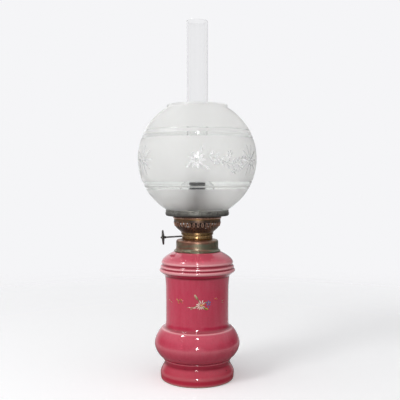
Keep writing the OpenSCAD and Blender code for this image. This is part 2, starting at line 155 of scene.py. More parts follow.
def spline(points, step):
    """A smooth line through points, with a point about every step."""
    if len(points) < 3:
        return [p.copy() for p in points]
    knots = [0.0]
    for a, b in zip(points, points[1:]):
        knots.append(knots[-1] + math.sqrt((b - a).length))
    slopes = []
    for i, p in enumerate(points):
        if i == 0:
            slopes.append((points[1] - p) / (knots[1] - knots[0]))
        elif i == len(points) - 1:
            slopes.append((p - points[i - 1]) / (knots[i] - knots[i - 1]))
        else:
            left = (p - points[i - 1]) / (knots[i] - knots[i - 1])
            right = (points[i + 1] - p) / (knots[i + 1] - knots[i])
            across = (points[i + 1] - points[i - 1]) / (knots[i + 1] - knots[i - 1])
            slopes.append(left + right - across)
    line = [points[0].copy()]
    for i in range(len(points) - 1):
        span = knots[i + 1] - knots[i]
        parts = max(1, round((points[i + 1] - points[i]).length / step))
        for k in range(1, parts + 1):
            u = k / parts
            a, b = 2 * u ** 3 - 3 * u ** 2 + 1, u ** 3 - 2 * u ** 2 + u
            c, d = 3 * u ** 2 - 2 * u ** 3, u ** 3 - u ** 2
            line.append(points[i] * a + slopes[i] * (b * span) + points[i + 1] * c + slopes[i + 1] * (d * span))
    return line


def soften(points, closed, crisp, radius, step):
    """A smooth profile: small corners become a curve, and crisp ones get a small round."""
    parts = [spline(part, step) for part in stretches(points, closed, crisp)]
    line = []
    for i, part in enumerate(parts):
        first = i == 0 and not closed
        last = i == len(parts) - 1 and not closed
        line.extend(part[:1] if first else [])
        line.extend(part[1:-1])
        if last:
            line.append(part[-1])
            continue
        corner = part[-1]
        after = parts[(i + 1) % len(parts)]
        back = part[-2] - corner
        on = after[1] - corner
        reach = min(radius, back.length * 0.45, on.length * 0.45)
        start = corner + back.normalized() * reach
        end = corner + on.normalized() * reach
        for u in (0, 0.35, 0.65, 1):
            line.append(start * (1 - u) ** 2 + corner * 2 * u * (1 - u) + end * u ** 2)
    return line


def mesh_piece(name, verts, faces, made=None, smooth=True):
    """An object at the origin, with its place in its mesh."""
    mesh = bpy.data.meshes.new(name)
    mesh.from_pydata(verts, [], faces)
    mesh.validate()
    piece = bpy.data.objects.new(name, mesh)
    bpy.context.scene.collection.objects.link(piece)
    if smooth:
        mesh.shade_smooth()
    if made:
        mesh.materials.append(made)
    return piece


def face_outwards(piece):
    """Merges doubles and turns every face outwards."""
    work = bmesh.new()
    work.from_mesh(piece.data)
    bmesh.ops.remove_doubles(work, verts=work.verts, dist=1e-6)
    bmesh.ops.recalc_face_normals(work, faces=work.faces)
    work.to_mesh(piece.data)
    work.free()


def hollows(line, closed, reach):
    """For each point of a profile, how hollow it is, above 0 in a groove and below 0 on an edge, and how far it
    faces up, from -1 to 1."""
    count = len(line)
    lengths = [0.0]
    for a, b in zip(line, line[1:]):
        lengths.append(lengths[-1] + (b - a).length)
    total = lengths[-1] + ((line[0] - line[-1]).length if closed else 0)

    def at(s):
        if closed:
            s %= total
        s = min(max(s, 0), total)
        for i in range(count - 1):
            if lengths[i + 1] >= s:
                span = lengths[i + 1] - lengths[i]
                return line[i].lerp(line[i + 1], (s - lengths[i]) / span if span else 0)
        return line[-1].lerp(line[0], (s - lengths[-1]) / max(total - lengths[-1], 1e-9)) if closed else line[-1]

    area = sum(a.x * b.y - b.x * a.y for a, b in zip(line, line[1:] + line[:1]))
    side = 1 if area > 0 else -1
    values = []
    for i in range(count):
        before, after = at(lengths[i] - reach), at(lengths[i] + reach)
        mid = (before + after) / 2 - line[i]
        run = (after - before).normalized()
        values.append((side * (run.x * mid.y - run.y * mid.x) * -2 / reach, -run.x * side))
    return values


def lay_round(piece):
    """A UV map round the axis: turns from the front, and metres along the profile."""
    work = bmesh.new()
    work.from_mesh(piece.data)
    along = work.verts.layers.float["along"]
    laid = work.loops.layers.uv.new("round")
    for face in work.faces:
        turns = [math.atan2(corner.vert.co.x, -corner.vert.co.y) / math.tau % 1 for corner in face.loops]
        wraps = max(turns) - min(turns) > 0.5
        for corner, turn in zip(face.loops, turns):
            corner[laid].uv = (turn + (1 if wraps and turn < 0.5 else 0), corner.vert[along])
    work.to_mesh(piece.data)
    work.free()


def turned(name, line, closed, rings, made):
    """A body of revolution with a UV map (turns, metres along the profile) and a hollow attribute."""
    count = len(line)
    verts = []
    row = []
    for p in line:
        if p.x < SEAM:
            row.append([len(verts)])
            verts.append((0, 0, p.y))
            continue
        row.append([len(verts) + k for k in range(rings)])
        for k in range(rings):
            a = 2 * math.pi * k / rings - math.pi / 2
            verts.append((p.x * math.cos(a), p.x * math.sin(a), p.y))
    faces = []
    for i in range(count if closed else count - 1):
        low, high = row[i], row[(i + 1) % count]
        for k in range(rings):
            n = (k + 1) % rings
            corners = [low[k % len(low)], low[n % len(low)], high[n % len(high)], high[k % len(high)]]
            faces.append(list(dict.fromkeys(corners)))
    piece = mesh_piece(name, verts, faces, made)
    hollow = piece.data.attributes.new("hollow", "FLOAT", "POINT")
    tilt = piece.data.attributes.new("tilt", "FLOAT", "POINT")
    along = piece.data.attributes.new("along", "FLOAT", "POINT")
    values = hollows(line, closed, 2.2 * MM)
    travel = 0.0
    for i, ids in enumerate(row):
        travel += (line[i] - line[i - 1]).length if i else 0
        for v in ids:
            hollow.data[v].value, tilt.data[v].value = values[i]
            along.data[v].value = travel
    face_outwards(piece)
    lay_round(piece)
    return piece


def dress_turned(node, name, made, crisp=26, radius=0.25 * MM, step=1.4 * MM, rings=144):
    """A smooth turned piece that stands for a CAD node of the same profile."""
    points, closed = seam_profile(node)
    line = soften(points, closed, crisp, radius, step)
    piece = turned(name, line, closed, rings, made)
    return piece


# Studio: camera, floor, world and lamps

def studio():
    scene = bpy.context.scene
    scene.view_settings.view_transform = "Standard"
    lens_mm = 57.6
    eye = Vector((0.0037, -0.8512, 0.267))
    pitch = math.radians(1.97)
    lens = bpy.data.cameras.new("camera")
    lens.lens = lens_mm
    lens.sensor_width = 36
    lens.clip_start = 0.01
    camera = bpy.data.objects.new("camera", lens)
    camera.location = eye
    camera.rotation_euler = (math.pi / 2 - pitch, 0, 0)
    scene.collection.objects.link(camera)
    scene.camera = camera

    sky()
    lamp("key", (-1.1, -1.0, 1.1), (0, 0, 0.2), 0.5, 10, seen="diffuse")
    lamp("fill", (1.3, -0.9, 0.7), (0, 0, 0.2), 0.9, 0.6, seen="diffuse")
    lamp("left_pane", (-0.87, -0.37, 1.53), (0, 0, 0.3), 0.24, 6, seen="glossy")
    lamp("front_pane", (0.02, -0.8, 1.25), (0, 0, 0.3), 0.1, 3, seen="glossy", tall=0.16)
    lamp("front_strip", (0.0, -1.2, 0.38), (0, 0, 0.2), 0.07, 5, seen="glossy", tall=0.2)
    floor()


def sky():
    """A pale backdrop for the camera and through glass. What mirrors it sees a studio that is pale behind the
    lamp and in a panel round the camera, with darker sides, the right one darkest."""
    world = bpy.data.worlds.new("studio")
    bpy.context.scene.world = world
    world.use_nodes = True
    tree = world.node_tree
    tree.nodes.clear()
    path = put(tree, "ShaderNodeLightPath")
    place = put(tree, "ShaderNodeTexCoord")
    way = put(tree, "ShaderNodeSeparateXYZ", {0: place.outputs["Generated"]})
    behind = put(tree, "ShaderNodeMapRange", {"Value": way.outputs[1], "From Min": 0.5, "From Max": 0.92})
    side = put(tree, "ShaderNodeMapRange", {"Value": way.outputs[0], "From Min": -0.15, "From Max": 0.2,
                                            "To Min": 1.0, "To Max": 0.3})
    behind = put(tree, "ShaderNodeMath", {0: behind.outputs[0], 1: side.outputs[0]}, operation="MULTIPLY")
    panel = put(tree, "ShaderNodeMapRange", {"Value": way.outputs[1], "From Min": -0.87, "From Max": -0.98,
                                             "To Max": 0.62}, interpolation_type="SMOOTHSTEP")
    left = put(tree, "ShaderNodeMapRange", {"Value": way.outputs[0], "From Min": -0.05, "From Max": -0.9,
                                            "To Max": 0.12}, interpolation_type="SMOOTHSTEP")
    above = put(tree, "ShaderNodeMapRange", {"Value": way.outputs[2], "From Min": 0.1, "From Max": 0.6,
                                             "To Max": 0.8}, interpolation_type="SMOOTHSTEP")
    light = put(tree, "ShaderNodeMath", {0: behind.outputs[0], 1: panel.outputs[0]})
    light = put(tree, "ShaderNodeMath", {0: light.outputs[0], 1: left.outputs[0]})
    light = put(tree, "ShaderNodeMath", {0: light.outputs[0], 1: above.outputs[0]})
    light = put(tree, "ShaderNodeMath", {0: light.outputs[0], 1: 0.1})
    right = put(tree, "ShaderNodeMapRange", {"Value": way.outputs[0], "From Min": 0.2, "From Max": 0.9,
                                             "To Min": 0.93, "To Max": 0.66})
    soft_light = put(tree, "ShaderNodeMath", {0: left.outputs[0], 1: 1.2, 2: right.outputs[0]},
                     operation="MULTIPLY_ADD")
    back = put(tree, "ShaderNodeMapRange", {"Value": way.outputs[1], "From Min": -0.1, "From Max": 0.6,
                                            "To Min": 1.0, "To Max": 0.2})
    soft_light = put(tree, "ShaderNodeMath", {0: soft_light.outputs[0], 1: back.outputs[0]}, operation="MULTIPLY")
    seen = put(tree, "ShaderNodeMath", {0: path.outputs["Is Camera Ray"], 1: path.outputs["Is Transmission Ray"]},
               operation="MAXIMUM")
    pale = put(tree, "ShaderNodeBackground", {"Color": paint("#f5f5f7"), "Strength": 1.0})
    soft = put(tree, "ShaderNodeBackground", {"Color": paint("#f2f2f2"), "Strength": soft_light.outputs[0]})
    mirror = put(tree, "ShaderNodeBackground", {"Color": paint("#f2f2f4"), "Strength": light.outputs[0]})
    lit = put(tree, "ShaderNodeMixShader", {0: path.outputs["Is Glossy Ray"], 1: soft.outputs[0], 2: mirror.outputs[0]})
    both = put(tree, "ShaderNodeMixShader", {0: seen.outputs[0], 1: lit.outputs[0], 2: pale.outputs[0]})
    put(tree, "ShaderNodeOutputWorld", {"Surface": both.outputs[0]})


def lamp(name, place, aim, size, watts, seen, tall=None):
    """A soft square lamp that points at aim. It either lights the matt surfaces or shows in the shiny ones."""
    light = bpy.data.lights.new(name, "AREA")
    light.shape = "RECTANGLE"
    light.size = size
    light.size_y = tall or size
    light.energy = watts
    thing = bpy.data.objects.new(name, light)
    thing.location = place
    thing.visible_diffuse = seen == "diffuse"
    thing.visible_glossy = seen == "glossy"
    thing.rotation_euler = (Vector(aim) - Vector(place)).to_track_quat("-Z", "Y").to_euler()
    bpy.context.scene.collection.objects.link(thing)


def floor():
    """A pale matt floor that fades into the backdrop away from the lamp. Near the lamp it throws less light up
    and mirrors darker than its paint would, as the dark table in the photograph does. From below it is clear."""
    made, tree, output = new_finish("pale_floor")
    place = put(tree, "ShaderNodeTexCoord")
    away = put(tree, "ShaderNodeVectorMath", {0: place.outputs["Object"]}, operation="LENGTH")
    fade = put(tree, "ShaderNodeMapRange", {"Value": away.outputs["Value"], "From Min": 0.35, "From Max": 1.1},
               interpolation_type="SMOOTHSTEP")
    path = put(tree, "ShaderNodeLightPath")
    near = put(tree, "ShaderNodeMapRange", {"Value": away.outputs["Value"], "From Min": 0.36, "From Max": 0.14})
    mirrored = put(tree, "ShaderNodeMath", {0: path.outputs["Is Glossy Ray"], 1: near.outputs[0]},
                   operation="MULTIPLY")
    thrown = put(tree, "ShaderNodeMath", {0: path.outputs["Is Diffuse Ray"], 1: mirrored.outputs[0]},
                 operation="MAXIMUM")
    bounce = put(tree, "ShaderNodeMix", {"Factor": thrown.outputs[0], "A": paint("#fdfdfe"),
                                         "B": paint("#9b9d9b")}, data_type="RGBA")
    lift = put(tree, "ShaderNodeMath", {0: path.outputs["Is Camera Ray"], 1: 0.2}, operation="MULTIPLY")
    matt = put(tree, "ShaderNodeBsdfPrincipled", {"Base Color": bounce.outputs["Result"], "Roughness": 0.9,
                                                  "Emission Color": paint("#f5f5f7"),
                                                  "Emission Strength": lift.outputs[0]})
    none = put(tree, "ShaderNodeBsdfTransparent")
    below = put(tree, "ShaderNodeNewGeometry")
    gone = put(tree, "ShaderNodeMath", {0: fade.outputs[0], 1: below.outputs["Backfacing"]}, operation="MAXIMUM")
    both = put(tree, "ShaderNodeMixShader", {0: gone.outputs[0], 1: matt.outputs[0], 2: none.outputs[0]})
    tree.links.new(both.outputs[0], output.inputs["Surface"])
    size = 1.2
    plane = mesh_piece("floor", [(-size, -size, 0), (size, -size, 0), (size, size, 0), (-size, size, 0)],
                       [(0, 1, 2, 3)], made, smooth=False)


studio()


# Finishes

def rose_glaze():
    """Lead-type rose glaze over white porcelain, dipped and fired: deep and glassy, with less glaze and paler on
    the edges, pooled and darker in the grooves, paler where it faces up as painted light from above, and deeper
    and darker towards the foot, partly glaze that ran down and pooled there and partly painted shade, with a
    slow wave in its surface."""
    made, tree, output = new_finish("rose_glaze")
    place = put(tree, "ShaderNodeTexCoord")
    body = put(tree, "ShaderNodeSeparateXYZ", {0: place.outputs["Object"]})
    cloud = put(tree, "ShaderNodeTexNoise", {"Vector": place.outputs["Object"], "Scale": 22, "Detail": 3, "Roughness": 0.5})
    streak_scale = put(tree, "ShaderNodeMapping", {"Vector": place.outputs["Object"], "Scale": (1, 1, 0.12)})
    streak = put(tree, "ShaderNodeTexNoise", {"Vector": streak_scale.outputs[0], "Scale": 120, "Detail": 3, "Roughness": 0.6})
    mottle = put(tree, "ShaderNodeTexNoise", {"Vector": place.outputs["Object"], "Scale": 700, "Detail": 2, "Roughness": 0.6})
    base = put(tree, "ShaderNodeMix", {"Factor": cloud.outputs["Fac"], "A": paint("#b82445"), "B": paint("#c83551")},
               data_type="RGBA")
    run = put(tree, "ShaderNodeMapRange", {"Value": streak.outputs["Fac"], "From Min": 0.35, "From Max": 0.75,
                                           "To Min": 0.0, "To Max": 0.55})
    streaked = put(tree, "ShaderNodeMix", {"Factor": run.outputs[0], "A": base.outputs["Result"], "B": paint("#cd4862")},
                   data_type="RGBA")
    groove = put(tree, "ShaderNodeAttribute", attribute_name="hollow")
    pooled = put(tree, "ShaderNodeMapRange", {"Value": groove.outputs["Fac"], "From Min": 0.06, "From Max": 0.55})
    # Pooled glaze and painted shade: the colour deepens and darkens towards the foot, and the paler edges fade there
    foot_pool_and_shade = put(tree, "ShaderNodeMapRange", {"Value": body.outputs[2], "From Min": 0.032, "From Max": 0.01})
    foot_pooled_and_shaded = put(tree, "ShaderNodeMix", {"Factor": foot_pool_and_shade.outputs[0], "A": streaked.outputs["Result"],
                                       "B": paint("#bb243f")}, data_type="RGBA")
    edge_thin = put(tree, "ShaderNodeMapRange", {"Value": groove.outputs["Fac"], "From Min": -0.05, "From Max": -0.5,
                                                 "To Max": 0.95})
    facing = put(tree, "ShaderNodeAttribute", attribute_name="tilt")
    # Painted light: surfaces that face up are made paler, as if lit from above
    top_light_paint = put(tree, "ShaderNodeMapRange", {"Value": facing.outputs["Fac"], "From Min": 0.2, "From Max": 0.9,
                                                "To Max": 0.17})
    glaze_edge_and_top_light = put(tree, "ShaderNodeMath", {0: edge_thin.outputs[0], 1: top_light_paint.outputs[0]}, operation="MAXIMUM")
    less_thin_at_foot = put(tree, "ShaderNodeMath", {0: foot_pool_and_shade.outputs[0], 1: -0.55, 2: 1.0}, operation="MULTIPLY_ADD")
    glaze_edge_and_top_light = put(tree, "ShaderNodeMath", {0: glaze_edge_and_top_light.outputs[0], 1: less_thin_at_foot.outputs[0]}, operation="MULTIPLY")
    deep = put(tree, "ShaderNodeMix", {"Factor": pooled.outputs[0], "A": foot_pooled_and_shaded.outputs["Result"],
                                       "B": paint("#921930")}, data_type="RGBA")
    # The paler colour goes on the edges, where the glaze is scant, and as painted light on upward faces
    edged_and_top_lit = put(tree, "ShaderNodeMix", {"Factor": glaze_edge_and_top_light.outputs[0], "A": deep.outputs["Result"], "B": paint("#e7a0a6")},
                data_type="RGBA")
    fine = put(tree, "ShaderNodeMapRange", {"Value": mottle.outputs["Fac"], "From Min": 0.3, "From Max": 0.7,
                                            "To Min": 0.93, "To Max": 1.06})
    dusted = put(tree, "ShaderNodeMix", {"Factor": 1.0, "A": edged_and_top_lit.outputs["Result"], "B": fine.outputs[0]},
                 data_type="RGBA", blend_type="MULTIPLY")
    # Iron specks in the glaze, under 1 mm across, thickest in the throat above the foot
    speck = put(tree, "ShaderNodeTexVoronoi", {"Vector": place.outputs["Object"], "Scale": 150})
    spot = put(tree, "ShaderNodeMapRange", {"Value": speck.outputs["Distance"], "From Min": 0.16, "From Max": 0.06})
    chosen = put(tree, "ShaderNodeSeparateColor", {0: speck.outputs["Color"]})
    choosy = put(tree, "ShaderNodeMapRange", {"Value": body.outputs[2], "From Min": 0.046, "From Max": 0.036,
                                              "To Min": 0.86, "To Max": 0.6})
    rare = put(tree, "ShaderNodeMath", {0: chosen.outputs[0], 1: choosy.outputs[0]}, operation="GREATER_THAN")
    low = put(tree, "ShaderNodeMapRange", {"Value": body.outputs[2], "From Min": 0.042, "From Max": 0.034,
                                           "To Min": 0.12, "To Max": 0.9})
    specks = put(tree, "ShaderNodeMath", {0: spot.outputs[0], 1: rare.outputs[0]}, operation="MULTIPLY")
    shown = put(tree, "ShaderNodeMath", {0: specks.outputs[0], 1: low.outputs[0]}, operation="MULTIPLY")
    speckled = put(tree, "ShaderNodeMix", {"Factor": shown.outputs[0], "A": dusted.outputs["Result"],
                                           "B": paint("#3a0a12")}, data_type="RGBA")
    # Bare biscuit where the glaze was wiped off the foot
    wobble = put(tree, "ShaderNodeTexNoise", {"Vector": place.outputs["Object"], "Scale": 90, "Detail": 2})
    edge = put(tree, "ShaderNodeMath", {0: wobble.outputs["Fac"], 1: 0.0016, 2: 0.0004}, operation="MULTIPLY_ADD")
    bare = put(tree, "ShaderNodeMath", {0: body.outputs[2], 1: edge.outputs[0]}, operation="LESS_THAN")
    final = put(tree, "ShaderNodeMix", {"Factor": bare.outputs[0], "A": speckled.outputs["Result"],
                                        "B": paint("#c9b49a")}, data_type="RGBA")
    rough = put(tree, "ShaderNodeMix", {"Factor": bare.outputs[0], "A": 0.09, "B": 0.75})
    wave = put(tree, "ShaderNodeTexNoise", {"Vector": place.outputs["Object"], "Scale": 85, "Detail": 1})
    bump = put(tree, "ShaderNodeBump", {"Height": wave.outputs["Fac"], "Strength": 0.25, "Distance": 0.0006})
    glaze = put(tree, "ShaderNodeBsdfPrincipled", {
        "Base Color": final.outputs["Result"], "Roughness": rough.outputs["Result"], "IOR": 1.5,
        "Normal": bump.outputs[0]})
    tree.links.new(glaze.outputs[0], output.inputs["Surface"])
    return made


rose = rose_glaze()


def aged_brass(name, bright, dull, dark, metal, rough, patina_scale=60, cover=0.5, painted_shade_span=None, bloom=None):
    """Spun or pressed sheet brass under an old patina: bright metal shows where it is rubbed, brown oxide
    elsewhere, and dark grime gathers in patches. Between two heights it may be painted darker downwards as
    shade, and it may bear a bloom of two colours in level streaks, as spun metal does."""
    made, tree, output = new_finish(name)
    place = put(tree, "ShaderNodeTexCoord")
    patches = put(tree, "ShaderNodeTexNoise", {"Vector": place.outputs["Object"], "Scale": patina_scale,
                                               "Detail": 5, "Roughness": 0.62})
    grime = put(tree, "ShaderNodeTexNoise", {"Vector": place.outputs["Object"], "Scale": patina_scale * 5,
                                             "Detail": 3, "Roughness": 0.7})
    worn = put(tree, "ShaderNodeMapRange", {"Value": patches.outputs["Fac"], "From Min": cover - 0.12,
                                            "From Max": cover + 0.12})
    dirty = put(tree, "ShaderNodeMapRange", {"Value": grime.outputs["Fac"], "From Min": 0.45, "From Max": 0.75,
                                             "To Max": 0.8})
    skin = put(tree, "ShaderNodeMix", {"Factor": worn.outputs[0], "A": paint(bright), "B": paint(dull)},
               data_type="RGBA")
    final = put(tree, "ShaderNodeMix", {"Factor": dirty.outputs[0], "A": skin.outputs["Result"], "B": paint(dark)},
                data_type="RGBA")
    if bloom:
        spun = put(tree, "ShaderNodeMapping", {"Vector": place.outputs["Object"], "Scale": (0.45, 0.45, 3)})
        for share, colour in zip((0.0, 4.7), bloom):
            streak = put(tree, "ShaderNodeTexNoise", {"Vector": spun.outputs[0], "W": share, "Scale": 55, "Detail": 3},
                         noise_dimensions="4D")
            amount = put(tree, "ShaderNodeMapRange", {"Value": streak.outputs["Fac"], "From Min": 0.47,
                                                      "From Max": 0.6, "To Max": 0.8})
            final = put(tree, "ShaderNodeMix", {"Factor": amount.outputs[0], "A": final.outputs["Result"],
                                                "B": paint(colour)}, data_type="RGBA")
    # Painted shade: the colour darkens towards the bottom between the two heights
    if painted_shade_span:
        height = put(tree, "ShaderNodeSeparateXYZ", {0: place.outputs["Object"]})
        painted_shade = put(tree, "ShaderNodeMapRange", {"Value": height.outputs[2], "From Min": painted_shade_span[1], "From Max": painted_shade_span[0],
                                                "To Max": 0.85})
        final = put(tree, "ShaderNodeMix", {"Factor": painted_shade.outputs[0], "A": final.outputs["Result"], "B": paint(dark)},
                    data_type="RGBA")
    lustre = put(tree, "ShaderNodeMapRange", {"Value": worn.outputs[0], "To Min": metal[0], "To Max": metal[1]})
    shine = put(tree, "ShaderNodeMapRange", {"Value": patches.outputs["Fac"], "From Min": 0.3, "From Max": 0.7,
                                             "To Min": rough[0], "To Max": rough[1]})
    pits = put(tree, "ShaderNodeBump", {"Height": grime.outputs["Fac"], "Strength": 0.12, "Distance": 0.0004})
    brass = put(tree, "ShaderNodeBsdfPrincipled", {
        "Base Color": final.outputs["Result"], "Metallic": lustre.outputs[0], "Roughness": shine.outputs[0],
        "Normal": pits.outputs[0]})
    tree.links.new(brass.outputs[0], output.inputs["Surface"])
    return made


tarnished = aged_brass("tarnished_brass", "#978a72", "#7b5846", "#3d4238", (0.75, 0.55), (0.28, 0.45), 40,
                       bloom=("#8a5a49", "#64705c"))
rubbed = aged_brass("rubbed_brass", "#a5855a", "#73503f", "#40291f", (0.95, 0.85), (0.24, 0.36), 45, 0.54)
bronzed = aged_brass("bronzed_brass", "#82634c", "#4f3e35", "#271f1b", (0.6, 0.45), (0.32, 0.46), 70)
plain = aged_brass("plain_brass", "#a9853f", "#7e6232", "#4a3a22", (0.95, 0.8), (0.3, 0.5), 80)
blackened = aged_brass("blackened_brass", "#6a6762", "#45423f", "#262322", (0.9, 0.75), (0.28, 0.42), 60)
ring_low, ring_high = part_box("shade_ring")[0][2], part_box("shade_ring")[1][2]
# The shade ring's brass is painted darker towards its bottom, as shade
ring_black = aged_brass("satin_black_brass", "#a3a29b", "#84827c", "#2b2927", (0.7, 0.55), (0.5, 0.62), 60,
                        painted_shade_span=(ring_low + 0.001, ring_high))
copper = aged_brass("coppered_brass", "#cfa794", "#a87c69", "#4a332b", (0.7, 0.6), (0.28, 0.4), 80)
sooted = aged_brass("sooted_brass", "#4b463e", "#1d1b19", "#0c0b0b", (0.9, 0.3), (0.25, 0.6), 60, 0.45)
steel = aged_brass("blackened_steel", "#4a4744", "#2c2a29", "#141313", (0.85, 0.7), (0.25, 0.42), 90)


def plaster_finish():
    """Cast plaster of Paris: chalky, with small voids."""
    made, tree, output = new_finish("plaster")
    place = put(tree, "ShaderNodeTexCoord")
    grain = put(tree, "ShaderNodeTexNoise", {"Vector": place.outputs["Object"], "Scale": 900, "Detail": 3})
    tone = put(tree, "ShaderNodeMix", {"Factor": grain.outputs["Fac"], "A": paint("#b8b0a0"), "B": paint("#ddd6c8")},
               data_type="RGBA")
    bump = put(tree, "ShaderNodeBump", {"Height": grain.outputs["Fac"], "Strength": 0.5, "Distance": 0.0004})
    chalk = put(tree, "ShaderNodeBsdfPrincipled", {"Base Color": tone.outputs["Result"], "Roughness": 0.9,
                                                   "Normal": bump.outputs[0]})
    tree.links.new(chalk.outputs[0], output.inputs["Surface"])
    return made


plaster = plaster_finish()


def clear_glass():
    """Blown soda-lime glass tube: clear, with a faint smoke tint."""
    made, tree, output = new_finish("clear_glass")
    place = put(tree, "ShaderNodeTexCoord")
    draw = put(tree, "ShaderNodeMapping", {"Vector": place.outputs["Object"], "Scale": (1, 1, 0.08)})
    wave = put(tree, "ShaderNodeTexNoise", {"Vector": draw.outputs[0], "Scale": 90, "Detail": 1})
    bump = put(tree, "ShaderNodeBump", {"Height": wave.outputs["Fac"], "Strength": 0.15, "Distance": 0.0005})
    glass = put(tree, "ShaderNodeBsdfPrincipled", {
        "Base Color": paint("#fafafa"), "Roughness": 0.015, "IOR": 1.5, "Transmission Weight": 1.0,
        "Normal": bump.outputs[0]})
    tree.links.new(glass.outputs[0], output.inputs["Surface"])
    return made


clear = clear_glass()

# Heights of the clear bands cut in the frosted ball
BANDS = [(0.2530, 0.2554), (0.2573, 0.2627), (0.3185, 0.3240), (0.3283, 0.3297)]


# The sprays on the ball: distances from the main flower in mm, round the ball and up
SPRAYS = 3
SPRAY_HEIGHT = 289
# Flowers: place across and up, petals, reach and how slender the petals are
DAISIES = [(0, 0, 9, 11, 0.7), (25, -2, 5, 4.6, 0.6), (43, 8, 5, 5.0, 0.6), (56, -6, 13, 9.5, 0.8),
           (82, 0, 6, 6.5, 0.7), (80, 1, 10, 21, 5.0)]
# Single leaves: place across and up, direction in degrees, length and width
LEAVES = [(4, 7, 74, 13, 3.6), (8, -6, -38, 11, 3.8), (-7, -5, 212, 9, 3.4), (44, -12, -24, 12, 3.2)]
# The stem: where it starts and ends, and the step between its pairs of leaves
STEM = (13, 72, 7.5)


def spray_ground(tree, place, radius):
    """Distance round the ball and up from the nearest spray's main flower, in mm."""
    spot = put(tree, "ShaderNodeSeparateXYZ", {0: place.outputs["Object"]})
    front = put(tree, "ShaderNodeMath", {0: spot.outputs[1], 1: -1.0}, operation="MULTIPLY")
    turn = put(tree, "ShaderNodeMath", {0: spot.outputs[0], 1: front.outputs[0]}, operation="ARCTAN2")
    share = put(tree, "ShaderNodeMath", {0: turn.outputs[0], 1: SPRAYS / math.tau, 2: 1 / 6}, operation="MULTIPLY_ADD")
    part = put(tree, "ShaderNodeMath", {0: share.outputs[0]}, operation="FRACT")
    length = math.tau * radius / MM / SPRAYS
    across = put(tree, "ShaderNodeMath", {0: part.outputs[0], 1: length, 2: -length / 6}, operation="MULTIPLY_ADD")
    up = put(tree, "ShaderNodeMath", {0: spot.outputs[2], 1: 1 / MM, 2: -SPRAY_HEIGHT}, operation="MULTIPLY_ADD")
    return put(tree, "ShaderNodeCombineXYZ", {0: across.outputs[0], 1: up.outputs[0]})


def daisy_mask(tree, ground, across, up, petals, reach, slender):
    """1 on the petals of a flower, and 0 round it."""
    from_heart = put(tree, "ShaderNodeVectorMath", {0: ground.outputs[0], 1: (across, up, 0)}, operation="SUBTRACT")
    apart = put(tree, "ShaderNodeSeparateXYZ", {0: from_heart.outputs[0]})
    turn = put(tree, "ShaderNodeMath", {0: apart.outputs[1], 1: apart.outputs[0]}, operation="ARCTAN2")
    wave = put(tree, "ShaderNodeMath", {0: turn.outputs[0], 1: petals / 2}, operation="MULTIPLY")
    wave = put(tree, "ShaderNodeMath", {0: wave.outputs[0]}, operation="COSINE")
    wave = put(tree, "ShaderNodeMath", {0: wave.outputs[0]}, operation="ABSOLUTE")
    wave = put(tree, "ShaderNodeMath", {0: wave.outputs[0], 1: slender}, operation="POWER")
    far = put(tree, "ShaderNodeVectorMath", {0: from_heart.outputs[0]}, operation="LENGTH")
    inside = put(tree, "ShaderNodeMath", {0: wave.outputs[0], 1: reach}, operation="MULTIPLY")
    inside = put(tree, "ShaderNodeMath", {0: inside.outputs[0], 1: far.outputs["Value"]}, operation="SUBTRACT")
    petal = put(tree, "ShaderNodeMapRange", {"Value": inside.outputs[0], "From Min": -0.4, "From Max": 0.8})
    heart = put(tree, "ShaderNodeMapRange", {"Value": far.outputs["Value"], "From Min": reach * 0.16,
                                             "From Max": reach * 0.26})
    return put(tree, "ShaderNodeMath", {0: petal.outputs[0], 1: heart.outputs[0]}, operation="MULTIPLY")


def leaf_mask(tree, ground, across, up, turn, long, wide):
    """1 on a pointed leaf that grows from a place in a direction, and 0 round it."""
    laid = put(tree, "ShaderNodeMapping", {
        "Vector": ground.outputs[0], "Location": (across, up, 0), "Rotation": (0, 0, math.radians(turn)),
        "Scale": (long, wide / 2, 1)}, vector_type="TEXTURE")
    apart = put(tree, "ShaderNodeSeparateXYZ", {0: laid.outputs[0]})
    run = put(tree, "ShaderNodeMapRange", {"Value": apart.outputs[0], "To Max": math.pi})
    edge = put(tree, "ShaderNodeMath", {0: run.outputs[0]}, operation="SINE")
    side = put(tree, "ShaderNodeMath", {0: apart.outputs[1]}, operation="ABSOLUTE")
    inside = put(tree, "ShaderNodeMath", {0: edge.outputs[0], 1: side.outputs[0]}, operation="SUBTRACT")
    return put(tree, "ShaderNodeMapRange", {"Value": inside.outputs[0], "From Max": 0.3})


